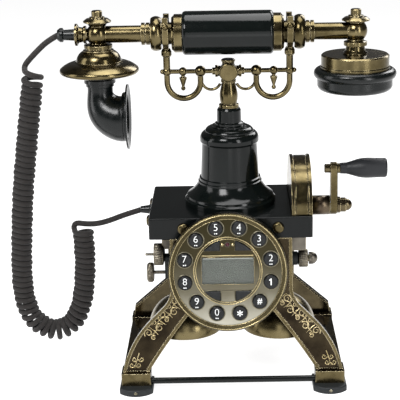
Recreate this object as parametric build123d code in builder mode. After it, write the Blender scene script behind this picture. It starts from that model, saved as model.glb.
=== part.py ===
from build123d import *

import os
from math import acos, cos, degrees, pi, radians, sin, tan

# Tower-style cradle telephone with a push-button dial, a side crank and a curly handset cord.
# Millimetres. +Z is up, the dial faces -Y, and the origin is on the floor under the column's axis.

# ---------------------------------------------------------------- driving dimensions

case_width, case_depth = 134.0, 96.0
case_top = 143.0
case_height = 17.7
case_bottom = case_top - case_height
wall = 2.4

lean = 8.7  # degrees that the legs and the dial lean out at the foot
leg_thickness = 5.0
liner_thickness = 2.0
border, relief_depth = 2.6, 1.2  # the raised edge round the relief panel of a leg
post_outer, post_inner = 50.0, 30.0
block_outer, block_inner = 92.3, 68.0
block_front, block_back = 70.0, 52.0
pad_height = 5.3
block_top = 15.8
block_x, block_y = (block_inner + block_outer) / 2, (block_front + block_back) / 2
foot_reach = 80.0
tie_rod_y, tie_rod_height, tie_rod_radius = 65.0, 7.5, 2.6
rail_x, rail_height = 88.0, 10.8

dial_radius = 48.4
dial_x = -2.9  # the dial sits a little left of the column
dial_depth = 10.4
dial_gap = 4.6  # between the dial's back and the plane of the legs' faces
dial_height = 100.3
face_rise = 1.5  # the ring of keys sits this far above the rim's centre
key_radius, key_ring_radius = 5.7, 36.0
key_travel = 1.2
key_clearance = 0.25
window_width, window_height = 43.0, 22.4

drum_left, drum_right = 50.2, 67.0
drum_radius = 44.0
crank_height = 138.0
crank_throw = 32.2
shaft_radius = 4.95
running_gap = 0.05

column_top = 224.3
plunger_radius = 2.5
arm_height = 254.8
fork_x = 50.5
loop_inner_x = 23.0

handset_height = 286.4
handset_lift_gap = 0.4
left_hub_x, right_hub_x = -106.0, 104.3
hub_radius = 9.6
grip_half, grip_radius = 37.2, 17.9
neck_radius = 9.0

gong_x, gong_y, gong_radius = 40.5, -5.0, 31.5
gong_rim, gong_crown = 31.0, 60.0
clapper_pivot = 79.0
side_y = -20.0  # the terminals on the magneto housing

cord_diameter = 4.8
coil_diameter = 18.4
gland_height = 136.5

os.makedirs("parts", exist_ok=True)
pieces = []


def keep(builder, name):
    """Labels a finished piece and puts it on the list to export."""
    builder.part.label = name
    pieces.append(builder.part)


def leaning_plane(side):
    """The plane of the legs' outer faces; side is -1 in front and 1 behind."""
    a = radians(lean)
    return Plane(
        origin=(0, side * case_depth / 2, case_bottom),
        x_dir=(-side, 0, 0),
        z_dir=(0, side * cos(a), sin(a)),
    )


front_plane, rear_plane = leaning_plane(-1), leaning_plane(1)
leg_foot = -(case_bottom - block_top) / cos(radians(lean)) - 4.0
over_top = 2.0  # legs are drawn this far past the case's underside, then cut flush with it

dial_drop = (dial_height - case_bottom) / cos(radians(lean))
dial_plane = Plane(
    origin=front_plane.from_local_coords((dial_x, dial_drop, dial_gap + dial_depth)),
    x_dir=(1, 0, 0),
    z_dir=front_plane.z_dir,
)
dial_axis = Axis((0, 0, 0), dial_plane.z_dir)
handset_plane = Plane(origin=(0, 0, handset_height), x_dir=(1, 0, 0), z_dir=(0, -1, 0))
handset_axis = Axis((0, 0, handset_height), (1, 0, 0))


def upright(x, y=0.0):
    """A vertical drawing plane through (x, y), its local origin on the floor."""
    return Plane(origin=(x, y, 0), x_dir=(1, 0, 0), z_dir=(0, -1, 0))


def upright_axis(x, y=0.0):
    return Axis((x, y, 0), (0, 0, 1))


def across(z, y=0.0):
    """A drawing plane whose local x runs along a left-to-right axis at height z."""
    return Plane(origin=(0, y, z), x_dir=(1, 0, 0), z_dir=(0, -1, 0))


def across_axis(z, y=0.0):
    return Axis((0, y, z), (1, 0, 0))


# ---------------------------------------------------------------- legs and feet


def front_leg_outline(plane, inset=0.0):
    """The right front leg on its leaning plane: a post, a knee, a flare and a shin."""
    with BuildSketch(plane) as outline:
        with BuildLine():
            top = Line((post_inner, over_top), (post_outer, over_top))
            post = Line(top @ 1, (post_outer, -41))
            knee = JernArc(post @ 1, post % 1, 22, 45)
            flare = Line(knee @ 1, knee @ 1 + (knee % 1) * 16.3)
            shin = JernArc(flare @ 1, flare % 1, 85, -33)
            ankle = Line(shin @ 1, ((shin @ 1).X + 0.6, leg_foot))
            sole = Line(ankle @ 1, (block_inner + 1, leg_foot))
            heel = Line(sole @ 1, (block_inner + 1, -110))
            arch = ThreePointArc(heel @ 1, (53, -86.2), (34, -61))
            Polyline(arch @ 1, (post_inner, -50), top @ 0)
        make_face()
        if inset:
            offset(amount=-inset)
    return outline.sketch


def rear_leg_outline(plane, inset=0.0):
    """A rear leg on its leaning plane: a straight post, a sloping shoulder and a short shin."""
    with BuildSketch(plane) as outline:
        with BuildLine():
            Polyline(
                (36, over_top), (57.0, over_top), (57.0, -71), (89.4, -101), (91.6, leg_foot),
                (block_inner + 1, leg_foot), (block_inner - 1, -104), (40, -78), (36, -60),
                close=True,
            )
        make_face()
        if inset:
            offset(amount=-inset)
    return outline.sketch


under_case = Plane.XY.offset(case_bottom)
with BuildPart() as front_legs:
    extrude(front_leg_outline(front_plane), amount=-leg_thickness)
    extrude(front_leg_outline(front_plane, border), amount=-relief_depth, mode=Mode.SUBTRACT)
    split(bisect_by=under_case, keep=Keep.BOTTOM)
    with BuildSketch(Plane.XY.offset(pad_height)):
        with Locations((block_x, -block_y)):
            RectangleRounded(block_outer - block_inner, block_front - block_back, 1.2)
    extrude(amount=block_top - pad_height)
    mirror(about=Plane.YZ)
keep(front_legs, "front_legs")

with BuildPart() as rear_legs:
    extrude(rear_leg_outline(rear_plane), amount=-leg_thickness)
    extrude(rear_leg_outline(rear_plane, border), amount=-relief_depth, mode=Mode.SUBTRACT)
    split(bisect_by=under_case, keep=Keep.BOTTOM)
    with BuildSketch(Plane.XY.offset(pad_height)):
        with Locations((-block_x, block_y)):
            RectangleRounded(block_outer - block_inner, block_front - block_back, 1.2)
    extrude(amount=block_top - pad_height)
    mirror(about=Plane.YZ)
keep(rear_legs, "rear_legs")

# Black plates that close the backs of the castings. They stop short of the foot blocks.
with BuildPart() as leg_liners:
    extrude(front_leg_outline(front_plane.offset(-leg_thickness), 1.0), amount=-liner_thickness)
    extrude(rear_leg_outline(rear_plane.offset(-leg_thickness), 0.6), amount=-liner_thickness)
    split(bisect_by=under_case, keep=Keep.BOTTOM)
    split(bisect_by=Plane.XY.offset(block_top + 0.2), keep=Keep.TOP)
    mirror(about=Plane.YZ)
keep(leg_liners, "leg_liners")

pad_inner, pad_outer = block_inner - 1.7, block_outer + 1.5
with BuildPart() as foot_pads:
    with BuildSketch(Plane.XY):
        with BuildLine():
            toe = ThreePointArc((pad_inner, -73), (block_x, -foot_reach), (pad_outer, -73))
            Polyline(toe @ 1, (pad_outer, -50), (pad_inner, -50), toe @ 0)
        make_face()
    extrude(amount=pad_height)
    fillet(foot_pads.faces().sort_by(Axis.Z)[-1].edges(), 1.4)
    mirror(about=Plane.YZ)
    mirror(about=Plane.XZ)
keep(foot_pads, "foot_pads")

with BuildPart() as tie_rods:
    with BuildSketch(Plane.YZ.offset(-block_inner)):
        with Locations((-tie_rod_y, tie_rod_height), (tie_rod_y, tie_rod_height)):
            Circle(tie_rod_radius)
    extrude(amount=2 * block_inner)
keep(tie_rods, "tie_rods")

with BuildPart() as side_rails:
    with Locations((-rail_x, 0, rail_height), (rail_x, 0, rail_height)):
        Box(7, 2 * block_back, 7.4)
keep(side_rails, "side_rails")

# ---------------------------------------------------------------- case and what is inside it

lower_flange = 2.0
slot_left, slot_right = drum_left - 0.4, drum_right + 1
jack_x, jack_width, jack_height = -30.0, 14.0, 8.6
board_bottom, board_thickness = 130.0, 1.6
board_top = board_bottom + board_thickness
inside_width, inside_depth = case_width - 2 * wall, case_depth - 2 * wall
with BuildPart() as top_case:
    with BuildSketch(Plane.XY.offset(case_bottom)):
        RectangleRounded(case_width, case_depth, 2)
    extrude(amount=case_height)
    fillet(top_case.faces().sort_by(Axis.Z)[-1].edges(), 1.2)
    with BuildSketch(Plane.XY.offset(case_bottom)):
        Rectangle(inside_width, inside_depth)
    extrude(amount=case_height - wall, mode=Mode.SUBTRACT)
    with BuildSketch(Plane.XY.offset(case_bottom + lower_flange)):
        with Locations(((slot_left + slot_right) / 2, 0)):
            Rectangle(slot_right - slot_left, 2 * (drum_radius + 0.4))
    extrude(amount=case_height, mode=Mode.SUBTRACT)
    with BuildSketch(Plane.XY.offset(case_top - wall)):
        Circle(5)
    extrude(amount=wall, mode=Mode.SUBTRACT)
    with BuildSketch(Plane.YZ.offset(-case_width / 2)):
        with Locations((0, gland_height)):
            Circle(3.0)
    extrude(amount=wall, mode=Mode.SUBTRACT)
    with BuildSketch(Plane.XZ.offset(-case_depth / 2)):
        with Locations((jack_x, board_top + jack_height / 2)):
            Rectangle(jack_width + 0.4, jack_height)
    extrude(amount=wall, mode=Mode.SUBTRACT)
keep(top_case, "top_case")

with BuildPart() as base_plate:
    with BuildSketch(Plane.XY.offset(case_bottom - 2.8)):
        Rectangle(124, 80)
    extrude(amount=2.8)
    with BuildSketch(Plane.XY.offset(case_bottom)):
        Rectangle(inside_width, inside_depth)
    extrude(amount=lower_flange)
    with BuildSketch(Plane.XY.offset(case_bottom + lower_flange)):
        with Locations((-52, -34), (-52, 34), (38, -34), (38, 34)):
            Circle(2.5)
    extrude(amount=board_bottom - case_bottom - lower_flange)
keep(base_plate, "base_plate")

# The board carries the hook switch under the plunger and the line socket at the back.
with BuildPart() as main_board:
    with BuildSketch(Plane.XY.offset(board_bottom)):
        with Locations((-7, 0)):
            Rectangle(102, 76)
    extrude(amount=board_thickness)
    with BuildSketch(Plane.XY.offset(board_top)):
        Rectangle(12, 7)
    extrude(amount=5.2)
    with BuildSketch(Plane.XY.offset(board_top)):
        with Locations((jack_x, case_depth / 2 - 8)):
            Rectangle(jack_width, 15)
    extrude(amount=jack_height)
    with BuildSketch(Plane.XY.offset(board_top + 1)):
        with Locations((jack_x, case_depth / 2 - 5.5)):
            Rectangle(10.4, 10)
    extrude(amount=jack_height - 2, mode=Mode.SUBTRACT)
keep(main_board, "main_board")

screw_radius, screw_rise, screw_height = 4.9, 3.0, 134.2
screw_places = [
    Plane(origin=(38.7, -case_depth / 2, screw_height), z_dir=(0, -1, 0)),
    Plane(origin=(-38.7, -case_depth / 2, screw_height), z_dir=(0, -1, 0)),
    Plane(origin=(38.7, case_depth / 2, screw_height), z_dir=(0, 1, 0)),
    Plane(origin=(-54, case_depth / 2, screw_height), z_dir=(0, 1, 0)),
    Plane(origin=(-case_width / 2, -24, screw_height), z_dir=(-1, 0, 0)),
    Plane(origin=(-case_width / 2, 24, screw_height), z_dir=(-1, 0, 0)),
]
with BuildPart() as case_screws:
    for place in screw_places:
        with BuildSketch(place):
            Circle(screw_radius)
        extrude(amount=screw_rise)
        head = case_screws.faces(Select.LAST).sort_by(Axis(place.origin, place.z_dir))[-1]
        fillet(head.edges(), screw_rise - 0.4)
keep(case_screws, "case_screws")

# ---------------------------------------------------------------- column

with BuildPart() as tower_column:
    with BuildSketch(upright(0)):
        with BuildLine():
            Polyline(
                (0, case_top), (38.2, case_top), (38.2, 147.2), (36.6, 148.6), (36.2, 150.4),
            )
            ThreePointArc((36.2, 150.4), (30.6, 155.2), (26.8, 161.0))
            Polyline(
                (26.8, 161.0), (26.8, 162.4), (25.8, 163.0), (25.8, 165.2), (24.5, 165.8),
                (23.0, 194.6), (24.6, 196.2), (24.6, 199.4),
            )
            ThreePointArc((24.6, 199.4), (23.6, 202.2), (21.4, 204.2))
            Polyline((21.4, 204.2), (20.3, 204.4), (20.3, 205.3))
            ThreePointArc((20.3, 205.3), (18.6, 207.4), (16.0, 208.3))
            Polyline(
                (16.0, 208.3), (14.5, 208.4), (14.5, 209.5), (11.8, 209.8), (11.8, 211.6),
                (10.2, 212.4), (10.0, 222.4), (8.8, column_top), (0, column_top), (0, case_top),
            )
        make_face()
    revolve(axis=upright_axis(0))
    with BuildSketch(upright(0)):
        with BuildLine():
            Polyline(
                (0, case_top), (33, case_top), (33, 146.0), (21, 156.0), (20, 194.0),
                (8, 205.0), (7, 214.0), (plunger_radius + running_gap, 214.0),
                (plunger_radius + running_gap, column_top), (0, column_top), (0, case_top),
            )
        make_face()
    revolve(axis=upright_axis(0), mode=Mode.SUBTRACT)
keep(tower_column, "tower_column")

# ---------------------------------------------------------------- cradle

stem_bottom, stem_top = column_top + 0.3, 247.4
with BuildPart() as cradle_stem:
    with BuildSketch(upright(0)):
        with BuildLine():
            Polyline(
                (0, 137.2), (plunger_radius, 137.2), (plunger_radius, stem_bottom),
                (8.3, stem_bottom), (8.3, 227.0), (6.6, 227.6),
            )
            Spline((6.6, 227.6), (7.4, 231.4), (7.5, 236.0), (6.2, 242.0), (5.6, 245.4))
            Polyline((5.6, 245.4), (6.3, 245.8), (6.3, stem_top), (0, stem_top), (0, 137.2))
        make_face()
    revolve(axis=upright_axis(0))
keep(cradle_stem, "cradle_stem")

ball_radius, boss_radius = 7.4, 7.7
arm_radius, finial_radius, drop_radius = 1.9, 2.1, 1.9
loop_tube_radius, post_radius = 2.45, 2.9
loop_radius = (fork_x - loop_inner_x) / 2
loop_x = (fork_x + loop_inner_x) / 2
loop_low = 232.3 + loop_radius
fork_base = 267.2
beads = [(loop_inner_x, 4.7), (loop_x + 0.6, 3.6), (fork_x, 3.8)]
finial_x = fork_x + 3.6
with BuildPart() as right_arm:
    with BuildSketch(across(arm_height)):
        with BuildLine():
            Polyline(
                (3.0, 0), (3.0, 4.4), (8.8, 4.4), (8.8, 5.0), (10.8, 5.0), (10.8, 3.0),
                (13.2, 3.0), (13.2, arm_radius),
            )
            before = 13.2
            for x, radius in beads:
                half = (radius**2 - arm_radius**2) ** 0.5
                Line((before, arm_radius), (x - half, arm_radius))
                ThreePointArc((x - half, arm_radius), (x, radius), (x + half, arm_radius))
                before = x + half
            Polyline((before, arm_radius), (finial_x, arm_radius), (finial_x, finial_radius))
            tip = CenterArc((finial_x, 0), finial_radius, 90, -90)
            Line(tip @ 1, (3.0, 0))
        make_face()
    revolve(axis=across_axis(arm_height))
    with BuildLine() as loop:
        down = Line((loop_inner_x, 0, arm_height), (loop_inner_x, 0, loop_low))
        turn = ThreePointArc(
            down @ 1, (loop_x, 0, loop_low - loop_radius), (fork_x, 0, loop_low)
        )
        Line(turn @ 1, (fork_x, 0, arm_height))
    with BuildSketch(Plane(origin=loop.line @ 0, z_dir=loop.line % 0)):
        Circle(loop_tube_radius)
    sweep(path=loop.line)
    with BuildLine() as swag:
        ThreePointArc((loop_inner_x - 1.5, 0, 244.6), (14.4, 0, 239.4), (6.9, 0, 244.2))
    with BuildSketch(Plane(origin=swag.line @ 0, z_dir=swag.line % 0)):
        Circle(1.2)
    sweep(path=swag.line)
    with BuildSketch(upright(loop_x + 0.6)):
        with BuildLine():
            Polyline((0, arm_height), (1.6, arm_height), (1.6, 250.6), (3.1, 250.0))
            neck_angle = degrees(acos(1.2 / drop_radius))
            drop = CenterArc((0, 240.7), drop_radius, neck_angle, -neck_angle - 90)
            Polyline((3.1, 250.0), (3.1, 248.8), (1.2, 243.0), drop @ 0)
            Line(drop @ 1, (0, arm_height))
        make_face()
    revolve(axis=upright_axis(loop_x + 0.6))
    with BuildSketch(Plane.XY.offset(arm_height)):
        with Locations((fork_x, 0)):
            Circle(post_radius)
    extrude(amount=fork_base - arm_height)

with BuildPart() as cradle_arms:
    with BuildSketch(upright(0)):
        with BuildLine():
            waist = degrees(acos(5.2 / ball_radius))
            ball = CenterArc((0, arm_height), ball_radius, -waist, 2 * waist)
            Polyline(ball @ 1, (5.2, 262.6), (5.9, 263.0), (5.9, 264.2), (4.6, 265.0), (0, 265.0))
            Polyline((0, 265.0), (0, stem_top), (5.2, stem_top), ball @ 0)
        make_face()
    revolve(axis=upright_axis(0))
    with BuildSketch(Plane.XZ.offset(1)):
        with Locations((0, arm_height)):
            Circle(boss_radius)
    extrude(amount=8.0)
    fillet(cradle_arms.faces().sort_by(Axis.Y)[0].edges(), 1.5)
    add(right_arm.part)
    mirror(right_arm.part, about=Plane.YZ)
keep(cradle_arms, "cradle_arms")

# Each fork is a cup on its post and two prongs, one each side of the handset's neck.
fork_width = 4.7
yoke_inner, yoke_outer = neck_radius + handset_lift_gap, 13.2
fork_top = 300.8
with BuildPart() as cradle_forks:
    with BuildSketch(upright(fork_x)):
        Polygon((0, fork_base), (3.2, fork_base), (4.3, 268.6), (4.3, 271.6), (3.2, 274.0),
                (0, 274.0), align=None)
    revolve(axis=upright_axis(fork_x))
    with BuildSketch(Plane.YZ.offset(fork_x - fork_width / 2)):
        with Locations((0, handset_height)):
            Circle(yoke_outer)
        with Locations((0, (handset_height + fork_top) / 2)):
            Rectangle(2 * yoke_outer, fork_top - handset_height)
        with Locations((0, handset_height)):
            Circle(yoke_inner, mode=Mode.SUBTRACT)
        with Locations((0, (handset_height + fork_top) / 2 + 1)):
            Rectangle(2 * yoke_inner, fork_top - handset_height + 2, mode=Mode.SUBTRACT)
    extrude(amount=fork_width)
    for side in (-1, 1):
        with Locations((fork_x, side * (yoke_outer - 0.6), 293.4)):
            Sphere(2.7)
    with BuildSketch(Plane.YZ.offset(fork_x - fork_width / 2)):
        with Locations((0, 293.4)):
            Rectangle(2 * yoke_inner, 10)
    extrude(amount=fork_width, mode=Mode.SUBTRACT)
    mirror(about=Plane.YZ)
keep(cradle_forks, "cradle_forks")

# ---------------------------------------------------------------- handset

ferrule_end, torus_start, torus_end, collar_end = 45.6, 54.2, 62.6, 70.2
ferrule_radius, torus_radius, collar_radius = 15.6, 14.2, 9.1
spigot_radius, rod_radius = 5.0, 6.9
rod_end = 103.0  # inside the balls that the rods meet
with BuildPart() as handset_grip:
    with BuildSketch(handset_plane):
        Polygon((-grip_half, spigot_radius), (grip_half, spigot_radius), (grip_half, grip_radius),
                (-grip_half, grip_radius), align=None)
    revolve(axis=handset_axis)
    ends = handset_grip.edges().filter_by(GeomType.CIRCLE).filter_by(
        lambda e: abs(e.radius - grip_radius) < 0.01
    )
    fillet(ends, 3.0)
keep(handset_grip, "handset_grip")

with BuildPart() as grip_ferrules:
    with BuildSketch(handset_plane):
        Polygon(
            (grip_half, spigot_radius), (grip_half, ferrule_radius), (43.4, ferrule_radius),
            (44.4, 14.2), (ferrule_end, 13.2), (ferrule_end, spigot_radius), align=None,
        )
    revolve(axis=handset_axis)
    mirror(about=Plane.YZ)
keep(grip_ferrules, "grip_ferrules")

def rod_profile():
    """Half of the handset's metalwork, from the spigot in the grip to the ball's middle."""
    with BuildSketch(handset_plane) as profile:
        with BuildLine():
            Polyline(
                (18, 0), (18, spigot_radius), (ferrule_end, spigot_radius),
                (ferrule_end, neck_radius), (torus_start, neck_radius), (torus_start, 12.6),
            )
            torus_middle = ((torus_start + torus_end) / 2, torus_radius)
            ThreePointArc((torus_start, 12.6), torus_middle, (torus_end, 12.6))
            Polyline(
                (torus_end, 12.6), (torus_end, 8.2), (63.6, 8.2), (63.6, collar_radius),
                (66.4, collar_radius), (66.4, 7.9), (67.4, 7.9), (67.4, collar_radius),
                (collar_end, collar_radius), (collar_end, rod_radius), (rod_end, rod_radius),
                (rod_end, 0), (18, 0),
            )
        make_face()
    return profile.sketch


with BuildPart() as left_rod:
    revolve(rod_profile(), axis=handset_axis)
    with Locations((-left_hub_x, 0, handset_height)):
        Sphere(hub_radius, mode=Mode.SUBTRACT)

with BuildPart() as handset_rods:
    revolve(rod_profile(), axis=handset_axis)
    with Locations((right_hub_x, 0, handset_height)):
        Sphere(hub_radius, mode=Mode.SUBTRACT)
    mirror(left_rod.part, about=Plane.YZ)
keep(handset_rods, "handset_rods")


def hub_profile(x, neck, sunk=0.0, waist=46.5):
    """The turned hub: nut, button, lens-shaped collar and ball, and the given neck below.

    The ball is joined at its waist angle, above and below its middle. The parts above it are
    sunk towards it by the given amount.
    """
    top = 306.0 - sunk
    waist_x = hub_radius * cos(radians(waist))
    waist_z = handset_height + hub_radius * sin(radians(waist))
    with BuildSketch(upright(x)) as profile:
        with BuildLine():
            Polyline(
                (0, top), (3.6, top), (4.4, top - 0.8), (4.4, top - 4.8), (6.2, top - 5.2),
                (6.4, top - 6.2), (9.0, top - 6.6), (11.4, top - 8.4), (11.4, top - 9.4),
                (8.2, top - 10.6), (waist_x, waist_z),
            )
            ball = CenterArc((0, handset_height), hub_radius, waist, -2 * waist)
            Polyline(ball @ 1, *neck, (0, neck[-1][1]), (0, top))
        make_face()
    return profile.sketch


saucer_top, can_top = 273.2, 267.4
transmitter_neck = [(8.4, 278.6), (11.6, 278.2), (11.6, 275.8), (10.6, 275.4), (10.6, 274.4),
                    (12.6, 274.0), (12.6, saucer_top)]
receiver_neck = [(7.4, 278.2), (9.6, 277.6), (9.6, 274.6), (7.6, 273.8), (8.2, 270.6),
                 (10.0, 268.2), (10.0, can_top)]
with BuildPart() as handset_hubs:
    revolve(hub_profile(left_hub_x, transmitter_neck), axis=upright_axis(left_hub_x))
    revolve(hub_profile(right_hub_x, receiver_neck, 1.8), axis=upright_axis(right_hub_x))
keep(handset_hubs, "handset_hubs")

saucer_bottom = 251.6
with BuildPart() as transmitter_saucer:
    with BuildSketch(upright(left_hub_x)):
        with BuildLine():
            Line((0, saucer_top), (13.0, saucer_top))
            ThreePointArc((13.0, saucer_top), (16.4, 270.4), (18.4, 266.2))
            Polyline((18.4, 266.2), (18.8, 264.8), (20.4, 264.0))
            ThreePointArc((20.4, 264.0), (26.8, 262.4), (31.4, 259.4))
            ThreePointArc((31.4, 259.4), (32.6, 257.2), (31.4, 255.0))
            ThreePointArc((31.4, 255.0), (22.0, 252.6), (13.0, saucer_bottom))
            Line((13.0, saucer_bottom), (0, saucer_bottom))
            Line((0, saucer_bottom), (0, saucer_top))
        make_face()
    revolve(axis=upright_axis(left_hub_x))
    with BuildSketch(Plane.XY.offset(saucer_bottom)):
        with Locations((left_hub_x, 0)):
            Circle(11.0)
    extrude(amount=11.0, mode=Mode.SUBTRACT)
keep(transmitter_saucer, "transmitter_saucer")

bend_top = 240.0
mouth_x, mouth_z = -83.2, 217.5
throat_x = mouth_x - 4.0
lip_radius = 26.9
elbow_fullness = 1.5  # how far the bend's middle is pushed out of a true quarter


def horn_section(along, radius):
    """A round section of the horn's quarter bend, from straight down (0) to facing +X (1)."""
    turn = along * pi / 2
    out = elbow_fullness * sin(2 * turn)
    x = left_hub_x + (throat_x - left_hub_x) * (1 - cos(turn)) - out * cos(turn)
    z = bend_top - (bend_top - mouth_z) * sin(turn) - out * sin(turn)
    plane = Plane(origin=(x, 0, z), x_dir=(0, 1, 0), z_dir=(sin(turn), 0, -cos(turn)))
    with BuildSketch(plane) as section:
        Circle(radius)
    return section.sketch


with BuildPart() as mouthpiece_horn:
    with BuildSketch(upright(left_hub_x)):
        Polygon(
            (0, bend_top), (10.4, bend_top), (10.4, 243.6), (11.5, 244.0), (11.5, 246.4),
            (12.9, 246.8), (12.9, 249.8), (11.4, 250.2), (11.4, saucer_bottom),
            (0, saucer_bottom), align=None,
        )
    revolve(axis=upright_axis(left_hub_x))
    outer_sections = ((0, 10.4), (0.15, 11.4), (0.35, 14.4), (0.7, 18.2), (1, 20.6))
    loft([horn_section(along, radius) for along, radius in outer_sections])
    with BuildSketch(across(mouth_z)):
        Polygon(
            (throat_x - 1, 0), (throat_x - 1, 19.8), (mouth_x - 2.4, 20.8),
            (mouth_x - 1.4, lip_radius), (mouth_x, lip_radius), (mouth_x, 0), align=None,
        )
    revolve(axis=across_axis(mouth_z))
    inner_sections = ((0, 7.8), (0.15, 8.8), (0.35, 11.8), (0.7, 15.6), (1, 18.0))
    loft(
        [horn_section(along, radius) for along, radius in inner_sections],
        mode=Mode.SUBTRACT,
    )
    with BuildSketch(across(mouth_z)):
        Polygon(
            (throat_x - 1, 0), (throat_x - 1, 16.6), (mouth_x - 1.4, 19.4), (mouth_x, 24.4),
            (mouth_x + 1, 24.4), (mouth_x + 1, 0), align=None,
        )
    revolve(axis=across_axis(mouth_z), mode=Mode.SUBTRACT)
    with BuildSketch(Plane.XY.offset(bend_top)):
        with Locations((left_hub_x, 0)):
            Circle(7.8)
    extrude(amount=saucer_bottom - bend_top, mode=Mode.SUBTRACT)
keep(mouthpiece_horn, "mouthpiece_horn")

can_radius, can_bottom = 28.0, 255.8
with BuildPart() as receiver_can:
    with BuildSketch(upright(right_hub_x)):
        Polygon(
            (0, can_top), (26.8, can_top), (can_radius, 266.4), (can_radius, 258.4), (28.6, 257.6),
            (28.6, can_bottom), (25.6, can_bottom), (25.6, 265.2), (0, 265.2), align=None,
        )
    revolve(axis=upright_axis(right_hub_x))
keep(receiver_can, "receiver_can")

ear_ring_radius, ear_cap_bottom = 34.0, 237.6
with BuildPart() as ear_cap:
    with BuildSketch(upright(right_hub_x)):
        with BuildLine():
            Polyline((26.0, can_bottom), (30.4, can_bottom))
            ThreePointArc((30.4, can_bottom), (ear_ring_radius, 252.2), (32.2, 248.2))
            Polyline((32.2, 248.2), (31.0, 247.4), (31.0, 241.6))
            ThreePointArc((31.0, 241.6), (29.2, 238.7), (25.6, ear_cap_bottom))
            ThreePointArc((25.6, ear_cap_bottom), (13.0, 239.6), (0, 240.4))
            Polyline((0, 240.4), (0, 242.4), (26.0, 242.4), (26.0, can_bottom))
        make_face()
    revolve(axis=upright_axis(right_hub_x))
    with BuildSketch(Plane.XY.offset(ear_cap_bottom - 2)):
        with Locations((right_hub_x, 0)):
            Circle(1.1)
            with PolarLocations(5, 6):
                Circle(1.1)
            with PolarLocations(10, 12):
                Circle(1.1)
    extrude(amount=8, mode=Mode.SUBTRACT)
keep(ear_cap, "ear_cap")

with BuildPart() as sound_capsules:
    with BuildSketch(Plane.XY.offset(saucer_bottom + 0.4)):
        with Locations((left_hub_x, 0)):
            Circle(11.0)
    extrude(amount=8)
    with BuildSketch(Plane.XY.offset(242.8)):
        with Locations((right_hub_x, 0)):
            Circle(25.4)
    extrude(amount=4)
    with BuildSketch(Plane.XY.offset(246.8)):
        with Locations((right_hub_x, 0)):
            Circle(14)
    extrude(amount=12)
keep(sound_capsules, "sound_capsules")

cup_end, relief_end = -124.2, -138.8
with BuildPart() as handset_cord_gland:
    with BuildSketch(handset_plane):
        Polygon(
            (left_hub_x, 0), (left_hub_x, 5.0), (-115.2, 5.0), (-115.2, 7.2), (-117.0, 7.2),
            (-118.2, 6.0), (-121.0, 6.4), (-122.2, 8.0), (-122.4, 9.0), (cup_end, 9.0),
            (cup_end, 0), align=None,
        )
    revolve(axis=handset_axis)
    with Locations((left_hub_x, 0, handset_height)):
        Sphere(hub_radius, mode=Mode.SUBTRACT)
keep(handset_cord_gland, "handset_cord_gland")

with BuildPart() as handset_strain_relief:
    with BuildSketch(handset_plane):
        Polygon(
            (cup_end, 0), (cup_end, 4.8), (-133.6, 4.2), (-134.4, 5.8), (-136.6, 5.8),
            (relief_end, 4.2), (relief_end, 0), align=None,
        )
    revolve(axis=handset_axis)
keep(handset_strain_relief, "handset_strain_relief")

# ---------------------------------------------------------------- crank and its drum

bush_end, bush_radius = 84.4, 8.1
drum_floor = case_bottom + lower_flange
with BuildPart() as gear_drum:
    with BuildSketch(across(crank_height)):
        with BuildLine():
            Polyline(
                (drum_left, 0), (drum_left, drum_radius), (drum_left + 2.6, drum_radius),
                (drum_left + 2.6, 42.2), (drum_left + 3.6, 42.2), (drum_left + 3.6, 43.2),
                (drum_right - 3.6, 43.2), (drum_right - 3.6, 42.2), (drum_right - 2.6, 42.2),
                (drum_right - 2.6, drum_radius), (drum_right, drum_radius),
                (drum_right, bush_radius + 3), (drum_right + 1.6, bush_radius + 2.2),
                (drum_right + 1.6, bush_radius), (bush_end, bush_radius), (bush_end, 0),
                (drum_left, 0),
            )
        make_face()
    revolve(axis=across_axis(crank_height))
    with BuildSketch(across(crank_height)):
        Polygon(
            (drum_left + 2, 0), (drum_left + 2, 40.6), (drum_right - 2, 40.6), (drum_right - 2, 0),
            align=None,
        )
    revolve(axis=across_axis(crank_height), mode=Mode.SUBTRACT)
    with BuildSketch(Plane.YZ.offset(drum_left + 2)):
        with Locations((0, crank_height)):
            Circle(shaft_radius + running_gap)
    extrude(amount=bush_end - drum_left - 2, mode=Mode.SUBTRACT)
    with Locations(((drum_left + drum_right) / 2, 0, drum_floor - 30)):
        Box(drum_right - drum_left + 2, 2 * drum_radius + 2, 60, mode=Mode.SUBTRACT)
keep(gear_drum, "gear_drum")

arm_inner, arm_outer = 84.8, 90.8
boss_height = crank_height + crank_throw
with BuildPart() as crank_shaft:
    with BuildSketch(Plane.YZ.offset(drum_left + 2.4)):
        with Locations((0, crank_height)):
            Circle(shaft_radius)
    extrude(amount=arm_inner - drum_left - 2.4)
    with BuildSketch(Plane.YZ.offset(drum_left + 4)):
        with Locations((0, crank_height)):
            Circle(9.0)
    extrude(amount=5)
    with BuildSketch(Plane.YZ.offset(arm_inner)):
        with Locations((0, crank_height)):
            Circle(3.2)
    extrude(amount=13.0)
keep(crank_shaft, "crank_shaft")

with BuildPart() as crank_arm:
    with BuildSketch(Plane.YZ.offset(arm_inner)):
        with Locations((0, crank_height)):
            Circle(8.0)
        with Locations((0, boss_height)):
            Circle(5.4)
        make_hull()
    extrude(amount=arm_outer - arm_inner)
    fillet(crank_arm.faces().sort_by(Axis.X)[-1].edges(), 1.6)
    with BuildSketch(Plane.YZ.offset(arm_outer - 2)):
        with Locations((0, boss_height)):
            Circle(4.2)
    extrude(amount=4.0)
    with BuildSketch(Plane.YZ.offset(arm_inner)):
        with Locations((0, crank_height)):
            Circle(3.2)
        with Locations((0, boss_height)):
            Circle(2.2)
    extrude(amount=arm_outer + 3 - arm_inner, mode=Mode.SUBTRACT)
keep(crank_arm, "crank_arm")

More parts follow.
